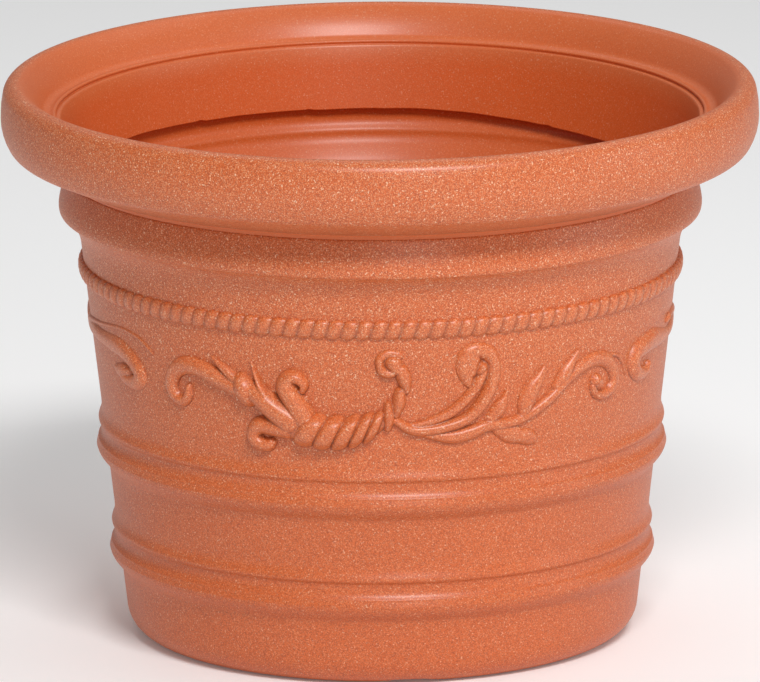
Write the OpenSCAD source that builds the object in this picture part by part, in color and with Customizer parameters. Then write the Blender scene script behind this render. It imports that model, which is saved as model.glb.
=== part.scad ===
// Terracotta-coloured plastic flower pot with a rolled rim, a rope band and a garland of horns and scrolls.
// The pot stands on z = 0, its axis is the z axis, and its photographed front faces -Y.

/* [Body] */
// Outer diameter across the rolled rim
rim_d = 500; // [492:2:512]
// Height from the ground to the crest of the rim
pot_h = 370.5; // [367:0.5:380]
// Thickness of the moulded wall
wall_t = 4; // [3:0.5:4.5]
// How far the rim reaches beyond the wall's cone where the cone meets the ground
rim_reach = 83; // [80:1:86]
// Lean of the wall from upright, in degrees
wall_lean = 6.65; // [6:0.05:7]
// Radius of the round corner between the wall and the foot
corner_r = 20; // [16:1:24]

/* [Base] */
// Width of the flat ring that the pot stands on
foot_w = 19; // [14:1:26]
// Height of the hollow under the base plate
base_rise = 8; // [7:0.5:10]
// Number of shallow arches across the foot ring
arch_count = 4; // [3:1:6]
// Width of one arch on the ground
arch_w = 46; // [30:2:60]
// Height of one arch
arch_h = 3.5; // [2:0.5:5]
// Direction of the first arch, in degrees to the right of the front
arch_turn = 6.5; // [0:0.5:30]

/* [Mouldings] */
// Height of the big ring of the upper pair
upper_rings_z = 126.5; // [122:0.5:131]
// Height of the big ring of the lower pair
lower_rings_z = 56.5; // [52:0.5:66]
// Depth below the rim's crest of the round bead's widest line
bead_drop = 82.5; // [80:0.5:86]
// How far the bead stands out from the wall's cone
bead_out = 11.7; // [10:0.1:13]
// Radius of the cove under the bead
cove_r = 30; // [26:1:33]
// Depth of the narrow groove between the bead and the rim
groove_depth = 2.2; // [1:0.1:2.5]
// Gap between the skirt inside the rim and the wall behind it
skirt_gap = 3; // [2:0.5:6]

/* [Rope band] */
// Gap between the rope and the cove above it
rope_gap = 10.5; // [6:0.5:14]
// Half the height of the rope
rope_half = 6.5; // [5:0.1:7]
// How far the rope stands out from the wall
rope_out = 4; // [3:0.1:4.6]
// Number of twisted strands round the pot
rope_strands = 128; // [100:4:140]
// Depth of the notch between two strands
strand_notch = 1.6; // [0.8:0.1:2]

/* [Garland] */
// Number of horn units, with a side scroll after each
unit_count = 2; // [1:1:2]
// Angle that one horn unit spans, in degrees
unit_angle = 105; // [98:1:106]
// Angle between a horn unit and the side scroll at its right, in degrees
side_gap_angle = 1.2; // [1:0.1:1.5]
// Gap between the upper rings and the garland
garland_low_gap = 2.9; // [1:0.1:5]
// Gap between the garland and the rope
garland_high_gap = 4; // [2:0.5:8]
// How far the garland and the rope are sunk into the wall
relief_sink = 1.5; // [1:0.1:2]

/* [Drain plugs] */
// Number of drain holes with plugs
drain_count = 4; // [3:1:6]
// Distance of the drain holes from the axis
drain_ring_r = 80; // [50:1:105]
// Diameter of a drain hole
drain_d = 16; // [14:0.5:20]
// Clearance round the plug's shank
plug_clear = 0.25; // [0.15:0.05:0.5]
// Gap under the plug's flange
seat_gap = 0.2; // [0.1:0.05:0.4]
// Width of the plug's flange beyond the hole
flange_lap = 4; // [3:0.5:6]
// Thickness of the plug's flange
flange_t = 2; // [1.5:0.25:3]
// Slope at the plug's tip that leads it into the hole
lead_in = 1.5; // [0.5:0.25:2]
// How far the shank reaches below the base plate
shank_below = 2.5; // [1:0.5:4]
// Height of the finger grip above the flange
grip_h = 7; // [5:0.5:10]
// Thickness of the finger grip
grip_t = 3; // [2:0.5:4]

/* [Hidden] */
UNITS = [for (i = [1:unit_count]) i];
DRAINS = [for (i = [1:drain_count]) i];
$fn = 96;
terracotta = [0.80, 0.45, 0.30];
light_clay = [0.86, 0.53, 0.38];
plug_clay = [0.62, 0.32, 0.22];

// The wall

rim_r = rim_d / 2;
// Radius of the wall's outer cone at height z
function cone_r(z) = rim_r - rim_reach + z * tan(wall_lean);
// Points of an arc about c, from angle a0 to a1
function arc(c, r, a0, a1, n) =
    [for (i = [0:n]) let (a = a0 + (a1 - a0) * i / n) c + r * [cos(a), sin(a)]];

// Outline of the moulded skin, from the axis under the base to the trimmed edge inside the rim

corner_c = cone_r(corner_r) - corner_r / cos(wall_lean);
foot_in_r = corner_c - foot_w;
foot_slope = 5;
floor_z = base_rise + wall_t;
corner_angle = -80;
base_line = [[0, base_rise], [foot_in_r - foot_slope, base_rise], [foot_in_r, 0], [corner_c, 0]];
corner_line = arc([corner_c, corner_r], corner_r, corner_angle, -wall_lean, 8);

// A big ring with two edges and a small ring above it: [height, distance out from the cone]
ring_pair = [[-11, 0], [-9, 1.7], [-6.5, 3.9], [-4, 5.6], [-2, 6.4], [0, 6.6], [2.5, 6], [5, 4.9],
             [7, 3.1], [10, 2], [14, 1.6], [16, 2.6], [17, 3.3], [18.5, 3.2], [20.5, 2.3], [22.5, 1.2],
             [25.5, 0.4], [31, 0]];
// The same rings as the softer wave that they leave on the inside
ring_wave = [[-12, 0], [-6, 2.2], [0, 3.6], [6, 2.4], [12, 1.1], [18, 1.3], [31, 0]];
function rings_at(z, outline) = [for (p = outline) [cone_r(z + p[0]) + p[1], z + p[0]]];

// Cove, bead and the groove above the bead: the bead's points are set off from its widest place
bead_z = pot_h - bead_drop;
bead_r = cone_r(bead_z) + bead_out;
bead_shape = [[-0.5, -2.8], [0, -0.5], [0, 2], [-0.8, 7], [-2.6, 14], [-4.8, 21.5]];
cove_angle = 50;
cove_drop = 4.5;
cove_z = bead_z - cove_drop - cove_r * (sin(cove_angle) - sin(wall_lean));
cove_line = [for (i = [0:8]) let (a = wall_lean + (cove_angle - wall_lean) * i / 8)
             [cone_r(cove_z) + cove_r * (cos(wall_lean) - cos(a)),
              cove_z + cove_r * (sin(a) - sin(wall_lean))]];
bead_line = [for (p = bead_shape) [bead_r, bead_z] + p];
bead_top = bead_line[len(bead_line) - 1];
groove = bead_top + groove_depth * [-1, 0.25];

// The rolled rim as arcs: a radius and the heading at its end for each, with a radius below 0 for a turn to
// the right. The first leads from the underside into the face, a flat of face_flat follows the second, the
// crest is where the heading is 180, and the last leads into the valley inside the rim.
roll_radii = [10.5, 34, 62, 7.2, 7, 45, -6];
roll_angles = [60, 90, 105, 180, 225, 247, 205];
under_angle = 26;
face_flat = 2.65;
function turn_arc(p, r, h0, h1, n) =
    [for (i = [1:n]) let (h = h0 + (h1 - h0) * i / n) p + r * [sin(h) - sin(h0), cos(h0) - cos(h)]];
function roll_arcs(p, h0, i = 0) =
    i == len(roll_radii) ? [] :
    let (steps = ceil(abs(roll_angles[i] - h0) / 9),
         a = turn_arc(p, roll_radii[i], h0, roll_angles[i], steps))
    concat(a, roll_arcs(a[len(a) - 1] + (i == 1 ? [0, face_flat] : [0, 0]), roll_angles[i], i + 1));
roll_shape = concat([[0, 0]], roll_arcs([0, 0], under_angle));
roll_place = [rim_r - max([for (p = roll_shape) p[0]]), pot_h - max([for (p = roll_shape) p[1]])];
roll_line = [for (p = roll_shape) roll_place + p];

// Inside the rim: from the valley over a small lip with an undercut and a shoulder to the straight skirt
valley = roll_line[len(roll_line) - 1];
lip_shape = [[-1.8, -0.2], [-3.4, 0.3], [-4.6, 0.8], [-5.8, 0.5], [-6.4, -0.3], [-5.2, -2.4], [-8.6, -1.6]];
lip_line = [for (p = lip_shape) valley + p];
shoulder_r = 3;
shoulder_angle = 215;
skirt_angle = 245;
skirt_drop = 39.5;
shoulder = turn_arc(lip_line[len(lip_line) - 1], shoulder_r, shoulder_angle, skirt_angle, 3);
skirt_edge = [bead_top[0] - skirt_gap - 2 * wall_t, shoulder[len(shoulder) - 1][1] - skirt_drop];

lower_skin = concat(base_line, corner_line);
function both_rings(outline) = concat(rings_at(lower_rings_z, outline), rings_at(upper_rings_z, outline));
outer_line = concat(lower_skin, both_rings(ring_pair), cove_line, bead_line, [groove], roll_line, lip_line,
                    shoulder, [skirt_edge]);
plain_line = concat(corner_line, both_rings(ring_wave), cove_line, bead_line, roll_line,
                    [shoulder[0], skirt_edge]);

// A line moved to its left by d, with mitred corners
function left_of(a, b) = let (v = b - a) [-v[1], v[0]] / norm(v);
function moved_left(line, d) =
    [for (i = [0:len(line) - 1])
        let (a = left_of(line[max(i - 1, 0)], line[max(i, 1)]),
             b = left_of(line[min(i, len(line) - 2)], line[min(i + 1, len(line) - 1)]),
             m = (a + b) / norm(a + b))
        line[i] + d * m / (m * a)];
inner_skin = moved_left(plain_line, wall_t);
// The floor, and the channel that hollows the foot ring above the arches
channel_z = wall_t + arch_h;
channel_slope = 4;
channel_in_r = foot_in_r + foot_slope / 2;
inner_line = concat([[0, floor_z], [channel_in_r - channel_slope, floor_z], [channel_in_r, channel_z],
                     [corner_c, channel_z]],
                    [for (p = inner_skin) if (p[1] > channel_z + arch_h / 8) p]);
function reversed(list) = [for (i = [len(list) - 1:-1:0]) list[i]];

// Round arch that crosses the foot ring
arch_r = (arch_w * arch_w / 4 + arch_h * arch_h) / (2 * arch_h);

module foot_arch() {
    translate([0, foot_w - foot_in_r, arch_h - arch_r])
        rotate([90, 0, 0])
            cylinder(r = arch_r, h = 2 * foot_w + corner_r);
}

module drain_place(i) {
    rotate([0, 0, 45 + 360 * (i - 1) / drain_count])
        translate([drain_ring_r, 0, 0])
            children();
}

module pot_shell() {
    color(terracotta)
        difference() {
            rotate_extrude()
                polygon(concat(outer_line, reversed(inner_line)));
            for (i = [0:arch_count - 1])
                rotate([0, 0, arch_turn + 360 * i / arch_count])
                    foot_arch();
            for (i = DRAINS)
                drain_place(i)
                    cylinder(d = drain_d, h = floor_z + wall_t);
        }
}

// A closed skin through a row of equal sections, with flat ends or joined up into a ring

module skin(sections, ring = false) {
    m = len(sections[0]);
    n = len(sections);
    points = [for (s = sections, p = s) p];
    last = ring ? n - 1 : n - 2;
    sides = [for (i = [0:last], j = [0:m - 1])
        let (k = (j + 1) % m, a = i * m, b = (i + 1) % n * m)
        each [[a + j, a + k, b + k], [a + j, b + k, b + j]]];
    end = (n - 1) * m;
    caps = ring ? [] : [for (j = [1:m - 2]) each [[0, j + 1, j], [end, end + j, end + j + 1]]];
    polyhedron(points = points, faces = concat(sides, caps));
}

// The rope: its strands lean to the right at the top

section_angles = [0, 60, 120, 180];
strand_lean_angle = 0.5;
rope_turn_angle = -0.4;
rope_z = cove_z - rope_gap - rope_half;
function rope_section(a, bulge) = concat(
    [for (t = section_angles)
        let (z = rope_z - rope_half * cos(t), b = a - strand_lean_angle * cos(t),
             r = cone_r(z) + (rope_out - (1 - bulge) * strand_notch) * sin(t))
        [r * sin(b), -r * cos(b), z]],
    [for (s = [1, -1])
        let (z = rope_z + s * rope_half, r = cone_r(z) - relief_sink, b = a + s * strand_lean_angle)
        [r * sin(b), -r * cos(b), z]]);

module rope_band() {
    color(light_clay)
        skin([for (i = [0:2 * rope_strands - 1])
            rope_section(rope_turn_angle + 180 * i / rope_strands, (i + 1) % 2)], ring = true);
}

// The garland as drawn: each point is [sideways from its middle, height, half width, how far it stands out]

// Left scroll: stem and volute, pointed leaf and bud

left_stem = [[-86, 199, 6, 6.5], [-101, 203, 6, 6], [-114, 208, 6.5, 6], [-126, 212, 6.5, 6],
             [-138, 212, 6.5, 5.5], [-148, 206, 6, 5], [-152, 196, 5.5, 4.5], [-149, 189, 4.5, 4],
             [-142, 187, 4, 4], [-137, 192, 3.5, 4], [-136, 198, 2.5, 3]];
left_leaf = [[-98, 208, 4.5, 4.5], [-106, 214, 3.5, 3.8], [-115, 221, 1, 2]];
bud = [[-93.5, 207.5, 6.2, 7], [-91, 202, 9, 9.5], [-89.5, 196.5, 7, 7]];

// Horn: trunk, spike leaf, upper curl, hook, twisted body, tail and end volute

trunk = [[-86, 201, 7, 7], [-78.5, 196.5, 8.5, 9], [-70, 190, 9.5, 10], [-60, 183, 11, 10.5]];
spike = [[-86, 221, 1, 1.6], [-83.5, 213, 1.6, 3], [-80.5, 206, 2.4, 5], [-76, 199.5, 4, 8]];
upper_curl = [[-50, 184, 8.5, 9.5], [-54, 191.5, 8.5, 9.5], [-58.5, 199, 8.2, 9], [-62, 206.5, 7.8, 8.5],
              [-59.5, 212.5, 6, 8], [-54, 212.8, 5, 7], [-50.3, 208.5, 3.6, 6], [-51.3, 204.3, 2.4, 5]];
hook = [[-62, 177, 7, 8.5], [-73, 178, 6.8, 8], [-81, 178.3, 6.5, 7.5], [-85.8, 174.3, 6.1, 7],
        [-86, 169, 5.9, 7], [-82, 165.9, 5.5, 6.5], [-77, 165.4, 5, 6], [-74, 167.3, 3.4, 4.5]];
horn_core = [[-64, 181.5, 10.5, 8], [-52, 178.5, 10.5, 7], [-40, 177, 10, 6.5], [-29, 176.3, 10, 6.2],
             [-18, 177.5, 9, 5.8], [-8, 181, 7, 5], [1, 185.5, 5, 4]];
// Twisted lobes across the horn's body: [sideways, height, half length, half width, how far it stands out]
horn_lobes = [[-48, 177.8, 11, 8, 11.5], [-35, 176.6, 11.2, 6.4, 11], [-23.6, 176.8, 10.6, 6.2, 10.3],
              [-13, 179.2, 9.4, 5.7, 9], [-4, 182.5, 7.6, 5.2, 7.5]];
lobe_angle = 24;
tail = [[[4, 180, 3, 4], [4.8, 187.5, 4.6, 6.5], [4.5, 196, 3, 4.5]],
        [[9.5, 189, 2.8, 4], [11.2, 197, 4.8, 6.5], [12, 204.5, 4, 5]],
        [[16.2, 205.5, 2.6, 3.5], [15, 212.5, 5, 6], [12.5, 219.5, 5, 5.5]]];
end_curl = [[11, 229.5, 3.5, 2.4], [4.5, 230.5, 3.5, 2.6], [-0.5, 227.5, 3.4, 3.8], [-0.8, 223, 3.2, 4.5],
            [1, 219, 3.8, 5], [5, 217.5, 3.8, 5], [10, 219, 3, 4]];
end_eye = [[7.5, 225, 6, 6.5], [9.5, 220.5, 5, 5.5]];

// Right scroll: two strands that part into an inner curl, the long lower stem with its volute, and leaves

inner_strand = [[14, 181, 1.5, 2], [25, 182, 2.5, 3.2], [35, 184.5, 3.5, 3.8], [45, 189, 4, 4.4],
                [54, 196, 4, 4.4], [61, 204, 4, 4.2], [66, 213, 3.5, 3.6], [68, 218, 2.5, 2.5]];
outer_strand = [[9, 185, 3, 4], [20, 178.5, 4, 5], [32, 178, 4.5, 5.4], [44, 180, 4.5, 5.4],
                [56, 184, 4.5, 5.4], [65, 192, 5, 5.4], [71, 202, 5, 5.4], [74, 212, 5, 5],
                [73.5, 221, 5, 5], [69.5, 228, 5.5, 4.2], [62, 230.5, 6, 4.2], [55.5, 227, 6.5, 4],
                [53.5, 219, 5.5, 3.8], [56, 211.5, 4.5, 3.2], [58, 205.5, 1, 1.5]];
lower_stem = [[24, 176, 2, 2.4], [36, 173.5, 3.5, 3.8], [48, 172.3, 5.2, 4.4], [60, 174.5, 5.2, 4.4],
              [70, 177.8, 4.5, 4.2], [80, 178, 4.5, 4.2], [90, 179, 4, 3.8], [100, 182, 4, 3.8],
              [110, 187, 4, 3.8], [119, 193, 4, 4.2], [127, 200, 4, 4.2], [136, 206, 4.5, 4.2],
              [146, 210.5, 5, 3.8], [156, 212, 5.5, 3.8], [166, 209, 5.5, 3.8], [173, 202, 5, 3.8],
              [176, 194, 4.5, 3.6], [172, 187.5, 4, 3.6], [164, 185.5, 3.5, 3.6], [157, 188, 3, 3.4],
              [154, 193, 2.5, 3]];
tendril = [[170, 212, 1.2, 1.3], [178, 210, 1.5, 1.5], [185, 203, 1.3, 1.3], [190, 194, 1, 1]];
inner_eye = [[66, 219, 4, 5], [64.5, 216.5, 3.5, 4.5]];
broad_end = [[59.5, 225, 5.5, 4], [57.5, 216.5, 5.5, 3.6]];
right_eye = [[157, 197, 5, 5.4], [159, 195, 5, 4.8]];
leaves = [[[74, 183, 5, 3], [79.5, 190, 5.5, 4.2], [82.5, 196.5, 2.6, 3], [84.5, 203, 1, 1.3]],
          [[97.5, 184, 4.5, 3.4], [99, 192, 6.8, 4.6], [102.5, 199.5, 6.6, 4.8], [107.5, 207, 4.2, 4],
           [110.8, 214, 1.4, 2]],
          [[122, 199, 4, 3.6], [129, 208, 5, 4.4], [138, 221, 1, 1.8]],
          [[78, 175, 4, 2.8], [87, 171, 6.5, 3.4], [95, 168.5, 5.5, 3.4], [101, 167, 6, 3.2],
           [106, 165, 4, 2.4]]];

// Side scroll, drawn from its own middle: a curl, a long stem that ends in a wide volute, and a thin tendril

side_stem = [[-90, 201, 3, 3.2], [-90.5, 195.5, 3.8, 4], [-96, 191, 4.2, 4.5], [-103, 193, 5, 5],
             [-106, 200, 5.5, 5.5], [-102, 208.5, 6, 5.5], [-92, 214.5, 6.5, 5.5], [-78, 216, 6.5, 5.5],
             [-60, 213.5, 6, 5], [-42, 210.5, 6, 4.5], [-22, 206.5, 5.5, 4], [0, 203, 5, 3.8],
             [22, 204, 5, 3.8], [44, 209, 5, 4], [62, 211.5, 5, 4], [80, 211, 5, 4], [94, 207, 5, 4],
             [103, 201, 5, 4], [106.5, 195, 5, 4], [101, 189.5, 4.5, 3.8], [90, 187.5, 4.5, 3.6],
             [79, 188.5, 4, 3.6], [71, 192, 3.5, 3.6], [70, 196.5, 3.2, 3.6], [76, 199, 3.2, 3.8],
             [83, 196.5, 3, 3.6]];
side_tendril = [[2, 205, 2.5, 2.8], [25, 214, 2, 2.2], [52, 220, 1.6, 1.8], [85, 224.5, 1.3, 1.6],
                [104, 223, 1.3, 1.5], [114, 219, 1.3, 1.4], [121, 214.5, 1, 1]];

// From the drawing to the wall: the drawing is fitted to the unit's angle and between the rings and the rope

outline_paths = concat(left_stem, hook, upper_curl, outer_strand, lower_stem, tendril);
drawn_left = min([for (p = outline_paths) p[0] - p[2]]);
drawn_right = max([for (p = outline_paths) p[0]]);
drawn_low = min([for (p = outline_paths) p[1] - p[2]]);
drawn_high = max([for (p = outline_paths) p[1] + p[2]]);
rings_top = upper_rings_z + ring_pair[len(ring_pair) - 1][0];
garland_low = rings_top + garland_low_gap;
garland_high = rope_z - rope_half - garland_high_gap;
stretch = (garland_high - garland_low) / (drawn_high - drawn_low);
function wall_z(z) = garland_low + (z - drawn_low) * stretch;
function wall_turn(u) = u * unit_angle / (drawn_right - drawn_left);
function on_wall(u, z, h) =
    let (a = wall_turn(u), r = cone_r(wall_z(z)) + h)
    [r * sin(a), -r * cos(a), wall_z(z)];

// Strands and leaves in relief

function smooth4(p0, p1, p2, p3, t) =
    0.5 * (2 * p1 + (p2 - p0) * t + (2 * p0 - 5 * p1 + 4 * p2 - p3) * t * t
           + (3 * p1 - p0 - 3 * p2 + p3) * t * t * t);
function smooth_path(c, steps) = concat(
    [for (i = [0:len(c) - 2], k = [0:steps - 1])
        smooth4(c[max(i - 1, 0)], c[i], c[i + 1], c[min(i + 2, len(c) - 1)], k / steps)],
    [c[len(c) - 1]]);

function strand_section(p, heading) =
    let (s = [heading[1], -heading[0]] / norm(heading))
    concat([for (t = section_angles) on_wall(p[0] + s[0] * p[2] * cos(t), p[1] + s[1] * p[2] * cos(t),
                                             p[3] * sin(t))],
           [for (t = [-1, 1]) on_wall(p[0] + s[0] * p[2] * t, p[1] + s[1] * p[2] * t, -relief_sink)]);

module strand(path) {
    n = len(path);
    skin([for (i = [0:n - 1])
        let (v = path[min(i + 1, n - 1)] - path[max(i - 1, 0)])
        strand_section(path[i], [v[0], v[1]])]);
}

// A low dome at a point of the drawing
module dome(p) {
    z = wall_z(p[1]);
    rotate([0, 0, wall_turn(p[0])])
        translate([0, -cone_r(z), z])
            scale([cone_r(z) * wall_turn(1) * PI / 180, (p[3] + relief_sink) / 2 / p[2], stretch])
                translate([0, -(p[3] - relief_sink) / (p[3] + relief_sink) * p[2], 0])
                    sphere(r = p[2], $fn = 8);
}

// A leaf or a lobe: domes in a row, each pair hulled
module leaf(domes) {
    for (i = [0:len(domes) - 2])
        hull() {
            dome(domes[i]);
            dome(domes[i + 1]);
        }
}

module unit_place(i) {
    rotate([0, 0, 360 * (i - 1) / unit_count])
        children();
}

module left_scroll(i) {
    color(terracotta)
        unit_place(i)
            union() {
                strand(smooth_path(left_stem, 2));
                leaf(left_leaf);
                leaf(bud);
            }
}

// One lobe lies across the body, with its foot to the left and its head to the right
module lobe(p) {
    reach = (p[2] - 0.7 * p[3]) * [tan(lobe_angle), 1];
    hull() {
        dome([p[0] - reach[0], p[1] - reach[1], 0.7 * p[3], 0.7 * p[4]]);
        dome([p[0], p[1], p[3], p[4]]);
        dome([p[0] + reach[0], p[1] + reach[1], 0.7 * p[3], 0.8 * p[4]]);
    }
}

module cornucopia(i) {
    color(light_clay)
        unit_place(i)
            union() {
                strand(smooth_path(trunk, 2));
                leaf(spike);
                strand(smooth_path(upper_curl, 2));
                strand(smooth_path(hook, 2));
                strand(smooth_path(horn_core, 2));
                for (l = horn_lobes)
                    lobe(l);
                for (t = tail)
                    leaf(t);
                strand(smooth_path(end_curl, 2));
                leaf(end_eye);
            }
}

module right_scroll(i) {
    color(terracotta)
        unit_place(i)
            union() {
                strand(smooth_path(inner_strand, 2));
                strand(smooth_path(outer_strand, 2));
                strand(smooth_path(lower_stem, 2));
                strand(smooth_path(tendril, 2));
                leaf(inner_eye);
                leaf(broad_end);
                leaf(right_eye);
                for (l = leaves)
                    leaf(l);
            }
}

// The side scroll's curl follows the horn unit's right end
side_left = min([for (p = side_stem) p[0] - p[2]]);
module side_scroll(i) {
    color(terracotta)
        unit_place(i)
            rotate([0, 0, wall_turn(drawn_right - side_left) + side_gap_angle])
                union() {
                    strand(smooth_path(side_stem, 2));
                    strand(smooth_path(side_tendril, 2));
                }
}

// Push-in drain plug: a shank with a sloped tip under a flange, and a finger grip across the flange

plug_r = drain_d / 2 - plug_clear;
flange_r = drain_d / 2 + flange_lap;
shank_h = seat_gap + wall_t + shank_below;

module drain_plug(i) {
    color(plug_clay)
        drain_place(i)
            translate([0, 0, floor_z + seat_gap])
                union() {
                    rotate_extrude()
                        polygon([[0, -shank_h], [plug_r - lead_in, -shank_h], [plug_r, lead_in - shank_h],
                                 [plug_r, 0], [flange_r, 0], [flange_r, flange_t], [0, flange_t]]);
                    translate([-plug_r, -grip_t / 2, flange_t / 2])
                        cube([2 * plug_r, grip_t, flange_t / 2 + grip_h]);
                }
}

pot_shell();
rope_band();
for (i = UNITS) {
    left_scroll(i);
    cornucopia(i);
    right_scroll(i);
    side_scroll(i);
}
for (i = DRAINS)
    drain_plug(i);
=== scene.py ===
# A terracotta-coloured plastic flower pot: its skin, rope band, garland in relief and drain plugs.
# Lengths are worked out in millimetres and put into the meshes in metres.
import math

import bpy
import numpy as np
from mathutils import Matrix, Vector


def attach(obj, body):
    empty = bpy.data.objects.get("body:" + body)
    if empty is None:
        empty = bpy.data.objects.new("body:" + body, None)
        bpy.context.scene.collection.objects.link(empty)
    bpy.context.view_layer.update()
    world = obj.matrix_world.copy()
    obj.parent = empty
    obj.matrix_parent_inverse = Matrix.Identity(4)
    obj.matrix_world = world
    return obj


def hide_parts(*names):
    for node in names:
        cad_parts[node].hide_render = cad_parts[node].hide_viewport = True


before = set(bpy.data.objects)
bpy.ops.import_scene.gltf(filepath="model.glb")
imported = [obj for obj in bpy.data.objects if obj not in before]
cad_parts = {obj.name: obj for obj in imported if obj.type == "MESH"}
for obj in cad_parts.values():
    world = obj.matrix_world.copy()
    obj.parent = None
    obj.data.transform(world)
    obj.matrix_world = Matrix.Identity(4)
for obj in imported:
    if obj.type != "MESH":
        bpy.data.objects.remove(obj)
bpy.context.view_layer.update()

MM = 0.001

# The pot's main sizes, as the frame has them
RIM_R = 250.0
POT_H = 370.5
WALL_T = 4.0
FOOT_R = 167.0
LEAN = math.radians(6.65)
CORNER_R = 20.0
FOOT_W = 19.0
BASE_RISE = 8.0
ARCH_COUNT, ARCH_W, ARCH_H, ARCH_TURN = 4, 46.0, 3.5, 6.5
UPPER_RINGS_Z, LOWER_RINGS_Z = 126.5, 56.5
BEAD_DROP, BEAD_OUT, COVE_R, COVE_END = 82.5, 11.7, 30.0, 50.0
ROPE_Z, ROPE_HALF, ROPE_OUT, STRANDS = 247.0, 6.5, 4.0, 128
GARLAND_R, SIDE_TURN = 189.62, 92.3
DRAIN_RING_R, DRAIN_D = 80.0, 16.0
PLUG_CLEAR, FLANGE_LAP, FLANGE_T, SHANK_BELOW = 0.25, 4.0, 2.0, 2.5
GRIP_H, GRIP_T, SEAT_GAP = 7.0, 3.0, 0.2
FLOOR_Z = BASE_RISE + WALL_T

# How far apart the points of the section's curves are, and how many columns and rows the meshes have
RING_STEP, WAVE_STEP, BEAD_STEP, LIP_STEP, RIDGE_STEP = 1.8, 4.0, 2.5, 0.8, 2.5
OUTER_STEP, INNER_STEP = 12.0, 24.0
TURNS = 316
QUARTER = TURNS // 4
ROPE_ROWS, STRAND_COLUMNS = 19, 16
CELL = 0.6


def cone_r(z):
    """Radius of the wall's outer cone at height z: the foot radius and z times the tangent of the lean."""
    return FOOT_R + z * math.tan(LEAN)


# Camera at the photograph's angle

CAMERA_AWAY, CAMERA_RISE, CAMERA_ROLL = 12.0, math.radians(13.4), math.radians(-0.3)
AIM_HEIGHT, AIM_UP, AIM_RIGHT = 0.170, 0.0227, -0.0007
LENS, SENSOR = 859.2, 36.0


def place_camera():
    """A long lens on the line that rises from the pot's axis towards the front, moved a little in its own up and
    right directions and turned about its own axis."""
    back = Vector((0, -math.cos(CAMERA_RISE), math.sin(CAMERA_RISE)))
    up = Vector((0, math.sin(CAMERA_RISE), math.cos(CAMERA_RISE)))
    right = Vector((1, 0, 0))
    spot = Vector((0, 0, AIM_HEIGHT)) + AIM_UP * up + AIM_RIGHT * right + CAMERA_AWAY * back
    turned_right = math.cos(CAMERA_ROLL) * right + math.sin(CAMERA_ROLL) * up
    turned_up = math.cos(CAMERA_ROLL) * up - math.sin(CAMERA_ROLL) * right
    data = bpy.data.cameras.new("photo_camera")
    data.lens, data.sensor_width = LENS, SENSOR
    data.clip_start, data.clip_end = 1.0, 60.0
    cam = bpy.data.objects.new("photo_camera", data)
    cam.matrix_world = Matrix((
        (turned_right.x, turned_up.x, back.x, spot.x),
        (turned_right.y, turned_up.y, back.y, spot.y),
        (turned_right.z, turned_up.z, back.z, spot.z),
        (0, 0, 0, 1)))
    bpy.context.scene.collection.objects.link(cam)
    bpy.context.scene.camera = cam


place_camera()


# Meshes

def new_piece(name, points, quads, finish, body="pot", slot="pot_plastic", nodes=(), **shades):
    """One object at the origin from points in millimetres and faces of four corners, smooth all over; each
    shade is one number from 0 to 1 for every point, kept on the mesh under its name."""
    mesh = bpy.data.meshes.new(name)
    mesh.vertices.add(len(points))
    mesh.vertices.foreach_set("co", (np.asarray(points, float) * MM).ravel())
    mesh.loops.add(4 * len(quads))
    mesh.loops.foreach_set("vertex_index", np.asarray(quads, np.int32).ravel())
    mesh.polygons.add(len(quads))
    mesh.polygons.foreach_set("loop_start", np.arange(len(quads), dtype=np.int32) * 4)
    mesh.polygons.foreach_set("use_smooth", np.ones(len(quads), bool))
    mesh.update(calc_edges=True)
    for key, values in shades.items():
        shade = mesh.attributes.new(key, "FLOAT", "POINT")
        shade.data.foreach_set("value", np.asarray(values, np.float32))
    mesh.validate()
    mesh.materials.append(finish)
    piece = bpy.data.objects.new(name, mesh)
    bpy.context.scene.collection.objects.link(piece)
    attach(piece, body)
    if nodes:
        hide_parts(*nodes)
    return piece


def grid_quads(rows, cols, close_rows=False, close_cols=False, start=0):
    """Faces of a grid of rows by cols points, numbered row by row from start; a closed direction joins its end
    to its beginning."""
    i, j = np.meshgrid(np.arange(rows - (not close_rows)), np.arange(cols - (not close_cols)), indexing="ij")
    i2, j2 = (i + 1) % rows, (j + 1) % cols
    return start + np.stack([i * cols + j, i * cols + j2, i2 * cols + j2, i2 * cols + j], -1).reshape(-1, 4)


def end_caps(rows, cols, start=0):
    """Faces straight across the first and the last ring of a grid whose rows are closed rings."""
    i = np.arange(cols // 2 - 1)
    across = np.stack([i, i + 1, cols - 2 - i, cols - 1 - i], -1)
    return start + np.vstack([across[:, ::-1], across + (rows - 1) * cols])


def spun(line, turns):
    """The surface of radius and height (r, z) carried round the axis at the given angles, front at -Y."""
    r, z = line[:, 0][:, None], line[:, 1][:, None]
    return np.stack([r * np.sin(turns), -r * np.cos(turns), z + 0 * turns], -1)


def curve_through(points, step):
    """Catmull-Rom curve through rows of numbers, its first two being the place, sampled about every step:
    between rows b and c, with a before and d after them, half of
    2b + (c - a)t + (2a - 5b + 4c - d)t^2 + (3b - a - 3c + d)t^3."""
    p = np.asarray(points, float)
    p = np.vstack([2 * p[0] - p[1], p, 2 * p[-1] - p[-2]])
    out = []
    for a, b, c, d in zip(p[:-3], p[1:-2], p[2:-1], p[3:]):
        n = max(1, int(np.ceil(np.hypot(*(c - b)[:2]) / step)))
        t = (np.arange(n) / n)[:, None]
        out.append(0.5 * (2 * b + (c - a) * t + (2 * a - 5 * b + 4 * c - d) * t ** 2
                          + (3 * b - a - 3 * c + d) * t ** 3))
    return np.vstack(out + [p[-2:-1]])


# Section of the skin: radius and height

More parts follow.
